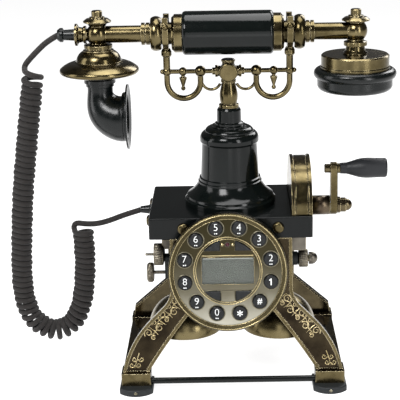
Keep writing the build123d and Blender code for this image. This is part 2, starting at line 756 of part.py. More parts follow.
# A washer and an acorn nut on the shaft, and the silver screw that is the crank handle's pin.
pin_end, acorn_radius = 127.0, 5.2
knob_start, knob_end = arm_outer + 2.3, 132.2
with BuildPart() as crank_fasteners:
    with BuildSketch(across(crank_height)):
        with BuildLine():
            Polyline(
                (arm_outer, 3.2), (arm_outer, 7.0), (93.2, 7.0), (93.2, 6.2), (98.0, 6.2),
                (98.0, acorn_radius), (98.4, acorn_radius),
            )
            dome = CenterArc((98.4, 0), acorn_radius, 90, -90)
            Polyline(dome @ 1, (97.8, 0), (97.8, 3.2), (arm_outer, 3.2))
        make_face()
    revolve(axis=across_axis(crank_height))
    with BuildSketch(across(boss_height)):
        Polygon(
            (79.6, 0), (79.6, 3.0), (80.4, 3.8), (arm_inner, 3.8), (arm_inner, 2.2),
            (pin_end, 2.2), (pin_end, 0), align=None,
        )
    revolve(axis=across_axis(boss_height))
keep(crank_fasteners, "crank_fasteners")

with BuildPart() as crank_knob:
    with BuildSketch(across(boss_height)):
        with BuildLine():
            Polyline((knob_start, 2.25), (knob_start, 4.6), (98.5, 4.9))
            Spline((98.5, 4.9), (103.4, 6.3), (109.6, 8.0), (119.0, 8.5), (131.0, 8.2))
            Polyline((131.0, 8.2), (knob_end, 7.2), (knob_end, 0), (pin_end + 0.2, 0))
            Polyline((pin_end + 0.2, 0), (pin_end + 0.2, 2.25), (knob_start, 2.25))
        make_face()
    revolve(axis=across_axis(boss_height))
keep(crank_knob, "crank_knob")

# ---------------------------------------------------------------- dial

rim_inner = 44.4
with BuildPart() as dial_housing:
    with BuildSketch(dial_plane.offset(-dial_depth)):
        Circle(dial_radius)
    extrude(amount=dial_depth + 0.9)
    fillet(dial_housing.edges().filter_by(GeomType.CIRCLE).sort_by(dial_axis)[-1], 1.2)
    with BuildSketch(dial_plane.offset(-dial_depth + 1.6)):
        Circle(rim_inner)
    extrude(amount=dial_depth, mode=Mode.SUBTRACT)
    with BuildSketch(dial_plane.offset(-dial_depth)):
        with Locations((39.5, 10), (-37, 10), (39.5, -22), (-37, -22)):
            Circle(3)
    extrude(amount=-dial_gap - relief_depth)
keep(dial_housing, "dial_housing")

face_back, face_front = -2.6, -0.6
segment_radius, segment_low, segment_side = 25.3, 16.6, 6.2
lamp_rise = 21.5


def key_centre(angle):
    """Where a key stands on the dial, by its angle anticlockwise from +X."""
    a = radians(angle)
    return (key_ring_radius * cos(a), face_rise + key_ring_radius * sin(a))


def function_key_outline(right, up, grow=0.0):
    """A slice of a disc above or below the display; grow widens it for its hole."""
    with Locations((0, face_rise)):
        Circle(segment_radius + grow)
    width = segment_radius + 2 - segment_side + grow
    height = segment_radius + 2 - segment_low + grow
    x = right * (segment_side - grow + width / 2)
    y = face_rise + up * (segment_low - grow + height / 2)
    with Locations((x, y)):
        Rectangle(width, height, mode=Mode.INTERSECT)


keys = {
    "key_1": 345, "key_2": 15, "key_3": 45, "key_4": 75, "key_5": 105, "key_6": 135,
    "key_7": 165, "key_8": 195, "key_9": 225, "key_0": 255, "key_star": 285, "key_hash": 315,
}
function_keys = {
    "function_key_upper_left": (-1, 1), "function_key_upper_right": (1, 1),
    "function_key_lower_left": (-1, -1), "function_key_lower_right": (1, -1),
}

with BuildPart() as dial_face:
    with BuildSketch(dial_plane.offset(face_back)):
        Circle(rim_inner - 0.1)
        with Locations([key_centre(a) for a in keys.values()]):
            Circle(key_radius + key_clearance, mode=Mode.SUBTRACT)
        with Locations((0, face_rise)):
            Rectangle(window_width, window_height, mode=Mode.SUBTRACT)
        with Locations((0, face_rise + lamp_rise)):
            Circle(2.0, mode=Mode.SUBTRACT)
    extrude(amount=face_front - face_back)
    for right, up in function_keys.values():
        with BuildSketch(dial_plane.offset(face_back)):
            function_key_outline(right, up, key_clearance)
        extrude(amount=face_front - face_back, mode=Mode.SUBTRACT)
keep(dial_face, "dial_face")

board_front = -7.2
with BuildPart() as key_board:
    with BuildSketch(dial_plane.offset(board_front - 1.4)):
        Circle(43)
    extrude(amount=1.4)
    with BuildSketch(dial_plane.offset(board_front)):
        with Locations((0, face_rise)):
            Rectangle(46, 25)
    extrude(amount=4.0)
    with BuildSketch(dial_plane.offset(board_front)):
        with Locations((0, face_rise + lamp_rise)):
            Circle(1.9)
    extrude(amount=6.9)
keep(key_board, "key_board")

with BuildPart() as display_window:
    with BuildSketch(dial_plane.offset(face_back - 0.4)):
        with Locations((0, face_rise)):
            Rectangle(window_width, window_height)
    extrude(amount=face_front - face_back + 0.8)
keep(display_window, "display_window")

key_bottom, flange_top, key_top = board_front + key_travel + 0.5, face_back - 0.35, 1.5
for name, angle in keys.items():
    with BuildPart() as key:
        with BuildSketch(dial_plane.offset(key_bottom)):
            with Locations(key_centre(angle)):
                Circle(key_radius + 0.9)
        extrude(amount=flange_top - key_bottom)
        with BuildSketch(dial_plane.offset(flange_top)):
            with Locations(key_centre(angle)):
                Circle(key_radius)
        extrude(amount=key_top - flange_top)
        front = key.faces().sort_by(dial_axis)[-1]
        fillet(front.edges(), 0.8)
    keep(key, name)

for name, (right, up) in function_keys.items():
    with BuildPart() as key:
        with BuildSketch(dial_plane.offset(key_bottom + 0.6)):
            function_key_outline(right, up)
        extrude(amount=key_top - 0.6 - key_bottom)
        front = key.faces().sort_by(dial_axis)[-1]
        chamfer(front.edges(), 0.4)
    keep(key, name)

# ---------------------------------------------------------------- bells and magneto housing

housing_bottom, housing_top = 88.0, case_bottom - 2.8
with BuildPart() as gongs:
    with BuildSketch(upright(gong_x, gong_y)):
        with BuildLine():
            Line((2.1, gong_crown), (7.0, gong_crown))
            ThreePointArc((7.0, gong_crown), (24.6, 50.6), (gong_radius, gong_rim))
            Line((gong_radius, gong_rim), (gong_radius - 1.8, gong_rim))
            ThreePointArc((gong_radius - 1.8, gong_rim), (23.0, 49.2), (7.0, gong_crown - 1.8))
            Polyline((7.0, gong_crown - 1.8), (2.1, gong_crown - 1.8), (2.1, gong_crown))
        make_face()
    revolve(axis=upright_axis(gong_x, gong_y))
    mirror(about=Plane.YZ)
keep(gongs, "gongs")

with BuildPart() as ringer_frame:
    with Locations((0, gong_y, housing_bottom - 2)):
        Box(92, 10, 4)
    for x in (-13, 13):
        with BuildSketch(Plane.XY.offset(housing_bottom - 22)):
            with Locations((x, gong_y)):
                Circle(6.5)
        extrude(amount=18)
    for x in (-gong_x, gong_x):
        with BuildSketch(Plane.XY.offset(gong_crown - 5.4)):
            with Locations((x, gong_y)):
                Circle(2.1)
        extrude(amount=housing_bottom - 4 - gong_crown + 5.4)
        for bottom, radius in ((gong_crown, 4.2), (gong_crown - 5.6, 3.6)):
            with BuildSketch(Plane.XY.offset(bottom)):
                with Locations((x, gong_y)):
                    Circle(radius)
            extrude(amount=3.8)
    for y in (gong_y - 4, gong_y + 4):
        with Locations((0, y, housing_bottom - 8)):
            Box(6, 2, 9)
    with BuildSketch(Plane.XZ.offset(-gong_y - 5)):
        with Locations((0, clapper_pivot)):
            Circle(1.0)
    extrude(amount=10)
keep(ringer_frame, "ringer_frame")

clapper_radius, clapper_low = 3.4, 38.0
with BuildPart() as clapper:
    with BuildSketch(Plane.XZ.offset(-gong_y - 2.4)):
        with Locations((0, clapper_pivot)):
            Circle(2.6)
    extrude(amount=4.8)
    with BuildSketch(Plane.XY.offset(clapper_low)):
        with Locations((0, gong_y)):
            Circle(0.9)
    extrude(amount=clapper_pivot - 1.6 - clapper_low)
    with Locations((0, gong_y, clapper_low)):
        Sphere(clapper_radius)
    with BuildSketch(Plane.XZ.offset(-gong_y - 5)):
        with Locations((0, clapper_pivot)):
            Circle(1.0 + running_gap)
    extrude(amount=10, mode=Mode.SUBTRACT)
keep(clapper, "clapper")

post_height, wheel_height, wheel_shaft_radius = 102.9, 86.8, 1.5
with BuildPart() as magneto_housing:
    with BuildSketch(Plane.XY.offset(housing_bottom)):
        RectangleRounded(100, 60, 4)
    extrude(amount=housing_top - housing_bottom)
    for side in (-1, 1):
        with BuildSketch(Plane.YZ.offset(side * 50)):
            with Locations((side_y, 97.5)):
                Circle(5.8)
        extrude(amount=side * 6)
    fillet(magneto_housing.edges().filter_by(Axis.X), 3.0)
    with Locations((-53, side_y, 91.0)):
        Box(6, 10, 16)
    with BuildSketch(Plane.YZ.offset(-56)):
        with Locations((side_y, wheel_height)):
            Circle(wheel_shaft_radius + running_gap)
    extrude(amount=6, mode=Mode.SUBTRACT)
keep(magneto_housing, "magneto_housing")

# Left: a knurled block with a silver pin. Right: a knurled nut and an acorn. Above each is a
# bracket on the side of the housing, the right one taller and further out.
with BuildPart() as terminal_posts:
    with BuildSketch(across(post_height, side_y)):
        Polygon(
            (-56, 0), (-56, 5.0), (-57.2, 9.0), (-65.0, 9.0), (-65.0, 1.1), (-72.3, 1.1),
            (-72.3, 0), align=None,
        )
    revolve(axis=across_axis(post_height, side_y))
    with BuildSketch(across(97.5, side_y)):
        with BuildLine():
            Polyline((56, 0), (56, 4.0), (57.2, 7.2), (64.6, 7.2), (64.6, 3.0), (65.6, 3.0))
            Polyline((65.6, 3.0), (65.6, acorn_radius), (67.8, acorn_radius))
            dome = CenterArc((67.8, 0), acorn_radius, 90, -90)
            Line(dome @ 1, (56, 0))
        make_face()
    revolve(axis=across_axis(97.5, side_y))
    with Locations((-54.0, side_y, 112.2)):
        Box(8, 5, 8)
    with Locations((56.5, side_y, 112.2)):
        Box(13, 5, 14)
keep(terminal_posts, "terminal_posts")

wheel_inner, wheel_outer = -65.6, -71.2
with BuildPart() as volume_wheel:
    with BuildSketch(across(wheel_height, side_y)):
        Polygon(
            (-50.4, 0), (-50.4, wheel_shaft_radius), (wheel_inner, wheel_shaft_radius),
            (wheel_inner, 7.2), (-66.4, 8.0),
            (-70.4, 8.0), (wheel_outer, 7.2), (wheel_outer, 0), align=None,
        )
    revolve(axis=across_axis(wheel_height, side_y))
keep(volume_wheel, "volume_wheel")

# ---------------------------------------------------------------- handset cord

upper_route = [(-140.4, 0, 286.0), (-147.5, 0, 281.6), (-157, 0, 274.6), (-164.6, 0, 267),
               (-168.4, 0, 257.5), (-167.4, 0, 248.5)]
coil_route = [(-160.5, 0, 258.5), (-162.8, 0, 240), (-166, 0, 220), (-170.4, 0, 190),
              (-175.6, 0, 154), (-179, 0, 116), (-181.6, 0, 78), (-180, 0, 52), (-172, 0, 34),
              (-154, 0, 25.6), (-139, 0, 33), (-130, 0, 52), (-126.6, 0, 78), (-125.6, 0, 100),
              (-126.6, 0, 120)]
lower_route = [(-133.8, 0, 102), (-133.6, 0, 110.4), (-130.4, 0, 117), (-124.2, 0, 122),
               (-114.2, 0, 124.5), (-103.2, 0, 128.2), (-90, 0, 133.2), (-76.5, 0, 136.5)]


def bend_radii(route):
    """The radius at each corner: 0.45 of the shorter run over the tangent of half the turn."""
    points = [Vector(*p) for p in route]
    radii = []
    for before, here, after in zip(points, points[1:], points[2:]):
        run = min((here - before).length, (after - here).length)
        turn = radians((here - before).get_angle(after - here))
        radii.append(0.45 * run / tan(turn / 2))
    return radii


def cord_tube(route, diameter):
    """A plain tube along straight runs joined by tangent arcs."""
    with BuildPart() as tube:
        with BuildLine() as path:
            FilletPolyline(*route, radius=bend_radii(route))
        with BuildSketch(Plane(origin=path.line @ 0, z_dir=path.line % 0)):
            Circle(diameter / 2)
        sweep(path=path.line)
    length = path.wires()[0].length
    ratio = tube.part.volume / (pi * diameter**2 / 4 * length)
    print("cord radii", [round(r, 1) for r in bend_radii(route)])
    print("cord length", round(length, 1), "volume over section times length", round(ratio, 4))
    return tube


keep(cord_tube(upper_route, cord_diameter), "cord_lead_upper")
keep(cord_tube(coil_route, coil_diameter), "cord_coil")
keep(cord_tube(lower_route, cord_diameter), "cord_lead_lower")

with BuildPart() as base_cord_gland:
    with BuildSketch(across(gland_height)):
        Polygon(
            (-63.4, 0), (-63.4, 3.0), (-case_width / 2, 3.0), (-case_width / 2, 4.6),
            (-68.6, 4.6), (-69.2, 3.8), (-76.5, 2.8), (-76.5, 0), align=None,
        )
    revolve(axis=across_axis(gland_height))
keep(base_cord_gland, "base_cord_gland")

for piece in pieces:
    export_step(piece, f"parts/{piece.label}.step")
print(len(pieces), "nodes written")
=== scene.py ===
"""The looks of a tower-style cradle telephone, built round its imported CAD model."""

import math

import bpy
from mathutils import Matrix, Vector


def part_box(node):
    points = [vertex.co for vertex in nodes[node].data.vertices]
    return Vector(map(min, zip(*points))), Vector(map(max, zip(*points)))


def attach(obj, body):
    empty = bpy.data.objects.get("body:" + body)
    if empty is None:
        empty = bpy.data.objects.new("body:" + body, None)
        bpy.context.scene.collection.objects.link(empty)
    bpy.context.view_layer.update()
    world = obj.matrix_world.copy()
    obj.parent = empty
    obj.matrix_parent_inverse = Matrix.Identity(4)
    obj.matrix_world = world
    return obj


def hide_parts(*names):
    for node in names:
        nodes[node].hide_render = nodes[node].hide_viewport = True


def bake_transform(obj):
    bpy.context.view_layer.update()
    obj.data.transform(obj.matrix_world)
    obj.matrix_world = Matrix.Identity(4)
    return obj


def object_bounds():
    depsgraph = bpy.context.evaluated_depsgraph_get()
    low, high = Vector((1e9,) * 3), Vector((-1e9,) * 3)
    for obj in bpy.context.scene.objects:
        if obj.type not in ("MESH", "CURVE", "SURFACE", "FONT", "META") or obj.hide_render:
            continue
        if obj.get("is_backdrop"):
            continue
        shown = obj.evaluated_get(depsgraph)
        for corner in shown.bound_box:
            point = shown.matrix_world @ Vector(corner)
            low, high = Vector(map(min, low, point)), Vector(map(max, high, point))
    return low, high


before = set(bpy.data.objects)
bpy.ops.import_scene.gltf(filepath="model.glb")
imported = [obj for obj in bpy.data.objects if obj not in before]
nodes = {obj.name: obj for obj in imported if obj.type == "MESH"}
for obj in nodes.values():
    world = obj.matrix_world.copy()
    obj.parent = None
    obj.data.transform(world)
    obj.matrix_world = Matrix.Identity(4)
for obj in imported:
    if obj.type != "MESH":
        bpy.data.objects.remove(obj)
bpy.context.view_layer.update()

MM = 0.001
LEAN = math.radians(8.7)  # the legs' faces and the dial lean out at the foot by this much
FACE_Y, FACE_Z = 48 * MM, 125.3 * MM  # where a leg's face meets the case, in front and behind
FACE_OFFSET = FACE_Y * math.cos(LEAN) + FACE_Z * math.sin(LEAN)
LEAN_UP = Vector((0, math.sin(LEAN), math.cos(LEAN)))
LEAN_OUT = Vector((0, -math.cos(LEAN), math.sin(LEAN)))
DIAL_CENTRE = (
    Vector((-2.9 * MM, -FACE_Y, FACE_Z)) - 25.291 * MM * LEAN_UP + 15 * MM * LEAN_OUT
)


# ---------------------------------------------------------------- camera, floor and light

# The camera looks 17 degrees down at the telephone from about a metre away, a little off level.
PITCH = math.radians(17)
ROLL = math.radians(-0.9)
DISTANCE = 1.02
AIM_HEIGHT = 0.1436
LENS = 108  # millimetres, on a sensor 36 mm wide
SHIFT = -0.0758  # brings the cord at the left into the picture
camera_data = bpy.data.cameras.new("camera")
camera_data.sensor_width = 36
camera_data.lens = LENS
camera_data.shift_x = SHIFT
camera = bpy.data.objects.new("camera", camera_data)
bpy.context.scene.collection.objects.link(camera)
camera.location = (0, -DISTANCE * math.cos(PITCH), AIM_HEIGHT + DISTANCE * math.sin(PITCH))
turned = Matrix.Rotation(math.pi / 2 - PITCH, 4, "X") @ Matrix.Rotation(ROLL, 4, "Z")
camera.rotation_euler = turned.to_euler()
bpy.context.scene.camera = camera
bpy.context.scene.view_settings.view_transform = "Standard"


def link(obj):
    bpy.context.scene.collection.objects.link(obj)
    return obj


def mesh_object(name, vertices, faces, smooth=True):
    mesh = bpy.data.meshes.new(name)
    mesh.from_pydata([tuple(v) for v in vertices], [], faces)
    mesh.update()
    for polygon in mesh.polygons:
        polygon.use_smooth = smooth
    return link(bpy.data.objects.new(name, mesh))


def area_light(name, location, power, size, tall=None):
    """A soft light aimed at the telephone's middle, square unless it is given a height."""
    data = bpy.data.lights.new(name, "AREA")
    data.shape = "RECTANGLE" if tall else "SQUARE"
    data.size = size
    if tall:
        data.size_y = tall
    data.energy = power
    lamp = link(bpy.data.objects.new(name, data))
    lamp.location = location
    lamp.rotation_euler = (MIDDLE - Vector(location)).to_track_quat("-Z", "Y").to_euler()


MIDDLE = Vector((0, 0, 0.15))
area_light("key_light", (-0.5, -0.9, 1.15), 15, 0.5)
area_light("strip_light", (0.75, -1.0, 0.55), 7, 0.25, 1.0)
area_light("top_light", (0.1, 0.1, 1.4), 13, 0.8)
area_light("left_light", (-1.2, -0.2, 0.5), 5, 0.4, 1.0)
area_light("rim_light", (0.6, 1.0, 0.9), 7, 0.6)
area_light("front_light", (0.05, -1.3, 0.25), 1.0, 0.35, 0.6)

world = bpy.data.worlds.new("studio")
bpy.context.scene.world = world
world.use_nodes = True
background = world.node_tree.nodes["Background"]
background.inputs["Color"].default_value = (0.62, 0.62, 0.62, 1)
background.inputs["Strength"].default_value = 0.15


# ---------------------------------------------------------------- materials


class Tree:
    """A short way to write a material's nodes: each method makes a node and returns its output."""

    def __init__(self, name):
        self.material = bpy.data.materials.new(name)
        self.material.use_nodes = True
        self.nodes = self.material.node_tree.nodes
        self.links = self.material.node_tree.links
        self.shader = self.nodes["Principled BSDF"]
        self.place = self.make("ShaderNodeTexCoord").outputs["Object"]

    def make(self, kind, **settings):
        node = self.nodes.new(kind)
        for key, value in settings.items():
            setattr(node, key, value)
        return node

    def put(self, socket, value):
        if hasattr(value, "is_output"):
            self.links.new(value, socket)
        else:
            socket.default_value = value

    def noise(self, scale, detail=4.0, roughness=0.55, where=None):
        node = self.make("ShaderNodeTexNoise")
        self.put(node.inputs["Vector"], where or self.place)
        self.put(node.inputs["Scale"], scale)
        self.put(node.inputs["Detail"], detail)
        self.put(node.inputs["Roughness"], roughness)
        return node.outputs["Fac"]

    def ramp(self, value, *stops):
        """Colours along a value; each stop is (position, colour or grey)."""
        node = self.make("ShaderNodeValToRGB")
        self.put(node.inputs["Fac"], value)
        elements = node.color_ramp.elements
        while len(elements) < len(stops):
            elements.new(0.5)
        for element, (position, color) in zip(elements, stops):
            element.position = position
            grey = isinstance(color, (int, float))
            element.color = (color, color, color, 1) if grey else (*color, 1)
        return node.outputs["Color"]

    def math(self, operation, a, b=0.0, clamp=False):
        node = self.make("ShaderNodeMath", operation=operation, use_clamp=clamp)
        self.put(node.inputs[0], a)
        self.put(node.inputs[1], b)
        return node.outputs[0]

    def mix(self, factor, a, b, blend="MIX"):
        node = self.make("ShaderNodeMix", data_type="RGBA", blend_type=blend)
        self.put(node.inputs["Factor"], factor)
        for socket, value in ((node.inputs[6], a), (node.inputs[7], b)):
            self.put(socket, (*value, 1) if isinstance(value, tuple) and len(value) == 3 else value)
        return node.outputs[2]

    def stretched(self, scale):
        """Object coordinates scaled by a different amount along each axis."""
        node = self.make("ShaderNodeMapping")
        self.put(node.inputs["Vector"], self.place)
        node.inputs["Scale"].default_value = scale
        return node.outputs["Vector"]

    def edges(self, radius):
        """0 on flat places and up to 1 along edges that are sharper than radius."""
        bevel = self.make("ShaderNodeBevel", samples=4)
        bevel.inputs["Radius"].default_value = radius
        plain = self.make("ShaderNodeNewGeometry").outputs["Normal"]
        dot = self.make("ShaderNodeVectorMath", operation="DOT_PRODUCT")
        self.put(dot.inputs[0], bevel.outputs["Normal"])
        self.put(dot.inputs[1], plain)
        return self.ramp(dot.outputs["Value"], (0.80, 1.0), (0.995, 0.0))

    def occlusion_shade(self, distance):
        """Ambient occlusion, 1 in the open and down to 0 in recesses, used to paint shade into
        recesses.
        """
        node = self.make("ShaderNodeAmbientOcclusion", samples=6)
        node.inputs["Distance"].default_value = distance
        return node.outputs["AO"]

    def bump(self, height, strength, distance, normal=None):
        node = self.make("ShaderNodeBump")
        self.put(node.inputs["Height"], height)
        node.inputs["Strength"].default_value = strength
        node.inputs["Distance"].default_value = distance
        if normal is not None:
            self.links.new(normal, node.inputs["Normal"])
        return node.outputs["Normal"]

    def soft_normal(self, radius):
        bevel = self.make("ShaderNodeBevel", samples=4)
        bevel.inputs["Radius"].default_value = radius
        return bevel.outputs["Normal"]

    def set(self, **values):
        names = {
            "color": "Base Color", "metallic": "Metallic", "roughness": "Roughness",
            "normal": "Normal", "ior": "IOR", "alpha": "Alpha",
            "transmission": "Transmission Weight", "sheen": "Sheen Weight",
            "sheen_roughness": "Sheen Roughness", "glow": "Emission Color",
            "glow_strength": "Emission Strength",
        }
        for key, value in values.items():
            if isinstance(value, tuple) and len(value) == 3:
                value = (*value, 1)
            self.put(self.shader.inputs[names[key]], value)
        return self.material


def antique_brass(name, dark, bright, roughness, edge_wear_and_highlight=0.8, recess=0.012):
    """Darkened brass: soft patina, painted shade in the recesses, and pale edges that are partly
    worn metal and partly a painted edge highlight.
    """
    t = Tree(name)
    blotch = t.noise(42, 4)
    grain = t.noise(1100, 3)
    patina = t.math("ADD", t.math("MULTIPLY", blotch, 0.9), t.math("MULTIPLY", grain, 0.1))
    color = t.ramp(patina, (0.34, dark), (0.68, bright))
    # painted shade: ambient occlusion darkens the colour in recesses, down to about a sixth
    painted_recess_shade = t.ramp(t.occlusion_shade(recess), (0.2, 0.16), (0.85, 1.0))
    color = t.mix(1.0, color, painted_recess_shade, "MULTIPLY")
    # the edges are mixed towards pale brass, partly as worn metal and partly as a painted edge
    # highlight
    worn_and_highlit_edges = t.math("MULTIPLY", t.edges(0.0009), edge_wear_and_highlight)
    color = t.mix(worn_and_highlit_edges, color, (0.56, 0.47, 0.28))
    rough = t.ramp(t.noise(240, 4), (0.3, roughness - 0.05), (0.75, roughness + 0.08))
    normal = t.bump(t.noise(1500, 2), 0.08, 0.0002, t.soft_normal(0.0005))
    return t.set(color=color, metallic=1.0, roughness=rough, normal=normal)


def cast_leg(name, side):
    """A leg's casting: olive raised borders on the leaning face, dark bronze everywhere below it.

    The side is -1 for the front legs and 1 for the rear ones.
    """
    t = Tree(name)
    spread = 10  # brings the face's distance in metres into a ramp's range
    recess, border = 0.9 * MM, 0.3 * MM  # depths below the face where the colour turns
    parts = t.make("ShaderNodeSeparateXYZ")
    t.put(parts.inputs["Vector"], t.place)
    out = t.math("MULTIPLY", parts.outputs["Y"], side * math.cos(LEAN))
    height = t.math("ADD", out, t.math("MULTIPLY", parts.outputs["Z"], math.sin(LEAN)))
    raised = t.ramp(t.math("MULTIPLY", height, spread), ((FACE_OFFSET - recess) * spread, 0.0),
                    ((FACE_OFFSET - border) * spread, 1.0))
    low = t.ramp(t.noise(55, 4), (0.35, (0.016, 0.012, 0.008)), (0.7, (0.050, 0.038, 0.022)))
    high = t.ramp(t.noise(120, 4), (0.3, (0.065, 0.051, 0.023)), (0.7, (0.150, 0.120, 0.060)))
    color = t.mix(raised, low, high)
    # the edges are mixed towards pale brass, partly as worn metal and partly as a painted edge
    # highlight
    color = t.mix(t.math("MULTIPLY", t.edges(0.0009), 0.75), color, (0.72, 0.62, 0.40))
    rough = t.ramp(t.noise(240, 4), (0.3, 0.18), (0.75, 0.31))
    normal = t.bump(t.noise(1300, 2), 0.08, 0.0002, t.soft_normal(0.0005))
    return t.set(color=color, metallic=1.0, roughness=rough, normal=normal)


def lacquer(name, color, roughness, peel=0.06, ior=1.36):
    """Black paint with a faint orange peel and uneven gloss."""
    t = Tree(name)
    tint = t.ramp(t.noise(60, 3), (0.3, color), (0.8, tuple(1.5 * c for c in color)))
    rough = t.ramp(t.noise(180, 4), (0.3, roughness * 0.75), (0.75, roughness * 1.35))
    normal = t.bump(t.noise(700, 2), peel, 0.0003, t.soft_normal(0.0006))
    return t.set(color=tint, roughness=rough, normal=normal, ior=ior)


def moulded(name, color, roughness, grain=0.12, scale=1400):
    """Moulded plastic or rubber with a fine grain and worn, slightly paler edges."""
    t = Tree(name)
    base = t.ramp(t.noise(110, 4), (0.3, color), (0.8, tuple(1.35 * c for c in color)))
    base = t.mix(t.math("MULTIPLY", t.edges(0.0007), 0.35), base, tuple(2.6 * c for c in color))
    rough = t.ramp(t.noise(320, 3), (0.3, roughness - 0.06), (0.75, roughness + 0.1))
    normal = t.bump(t.noise(scale, 3), grain, 0.0003, t.soft_normal(0.0005))
    return t.set(color=base, roughness=rough, normal=normal, ior=1.38)


def steel(name):
    t = Tree(name)
    lines = t.noise(60, 3, where=t.stretched((1, 40, 40)))
    color = t.ramp(lines, (0.3, (0.42, 0.42, 0.42)), (0.7, (0.66, 0.66, 0.65)))
    rough = t.ramp(t.noise(300, 3), (0.3, 0.2), (0.7, 0.38))
    return t.set(color=color, metallic=1.0, roughness=rough, normal=t.bump(lines, 0.1, 0.0002))


def display_glass(name):
    """The clear pane over the display, with faint smears."""
    t = Tree(name)
    rough = t.ramp(t.noise(90, 4), (0.4, 0.04), (0.8, 0.16))
    tint = t.ramp(t.noise(40, 2), (0.3, (0.62, 0.66, 0.60)), (0.8, (0.72, 0.76, 0.70)))
    return t.set(color=tint, roughness=rough, transmission=0.9, alpha=0.35, ior=1.45)


def printed(name, color, roughness=0.5, spread=0.12):
    """Printed or painted marks with a little unevenness."""
    t = Tree(name)
    low = tuple(c * (1 - spread) for c in color)
    base = t.ramp(t.noise(500, 3), (0.3, low), (0.7, color))
    return t.set(color=base, roughness=roughness, normal=t.bump(t.noise(1200, 2), 0.05, 0.0002))


def braid(name):
    """A braided textile sleeve; the sleeve's own coordinates run along and round it."""
    t = Tree(name)
    strands, crossings = 8, 900  # threads round the sleeve, and crossings in a metre of it
    uv = t.make("ShaderNodeUVMap", uv_map="sleeve").outputs["UV"]
    parts = t.make("ShaderNodeSeparateXYZ")
    t.put(parts.inputs["Vector"], uv)
    along, around = parts.outputs["X"], parts.outputs["Y"]
    turns = t.math("MULTIPLY", around, math.tau * strands)
    steps = t.math("MULTIPLY", along, math.tau * crossings)
    one = t.math("SINE", t.math("ADD", steps, turns))
    other = t.math("SINE", t.math("SUBTRACT", steps, turns))
    plait = t.math("ADD", t.math("MULTIPLY", t.math("MULTIPLY", one, other), 0.5), 0.5)
    threads = t.ramp(plait, (0.2, (0.0015, 0.001, 0.001)), (0.85, (0.014, 0.010, 0.0085)))
    worn = t.ramp(t.noise(240, 4), (0.4, 0.0), (0.75, 0.5))
    color = t.mix(worn, threads, (0.020, 0.0145, 0.0120))
    normal = t.bump(plait, 0.7, 0.0004)
    return t.set(color=color, roughness=0.78, normal=normal, sheen=0.08, sheen_roughness=0.5)


def board(name):
    t = Tree(name)
    base = t.ramp(t.noise(200, 4), (0.35, (0.01, 0.05, 0.02)), (0.7, (0.02, 0.10, 0.04)))
    return t.set(color=base, roughness=0.45, normal=t.bump(t.noise(900, 2), 0.1, 0.0002))


def dial_plate_painted_light(name):
    """The dial plate, with painted light: dark olive at the top, paling to silvery brass at the
    bottom.
    """
    t = Tree(name)
    parts = t.make("ShaderNodeSeparateXYZ")
    t.put(parts.inputs["Vector"], t.place)
    reach = 45 * MM  # above and below the middle, where the shading ends
    low = DIAL_CENTRE[2] - reach
    rise = t.math("DIVIDE", t.math("SUBTRACT", parts.outputs["Z"], low), 2 * reach, True)
    uneven = t.math("ADD", rise, t.math("MULTIPLY", t.math("SUBTRACT", t.noise(45, 4), 0.5), 0.16))
    # painted light: silvery brass at the bottom darkening to olive at the top, with a little random
    # unevenness
    color = t.ramp(uneven, (0.02, (0.52, 0.50, 0.42)), (0.30, (0.17, 0.156, 0.112)),
                   (0.62, (0.052, 0.044, 0.024)), (0.98, (0.034, 0.029, 0.014)))
    # the edges are mixed towards pale brass, partly as worn metal and partly as a painted edge
    # highlight
    color = t.mix(t.math("MULTIPLY", t.edges(0.0006), 0.4), color, (0.50, 0.44, 0.29))
    streak = t.noise(35, 3, where=t.stretched((1, 30, 30)))
    rough = t.ramp(streak, (0.3, 0.30), (0.7, 0.42))
    return t.set(color=color, metallic=1.0, roughness=rough, normal=t.bump(streak, 0.06, 0.0002))


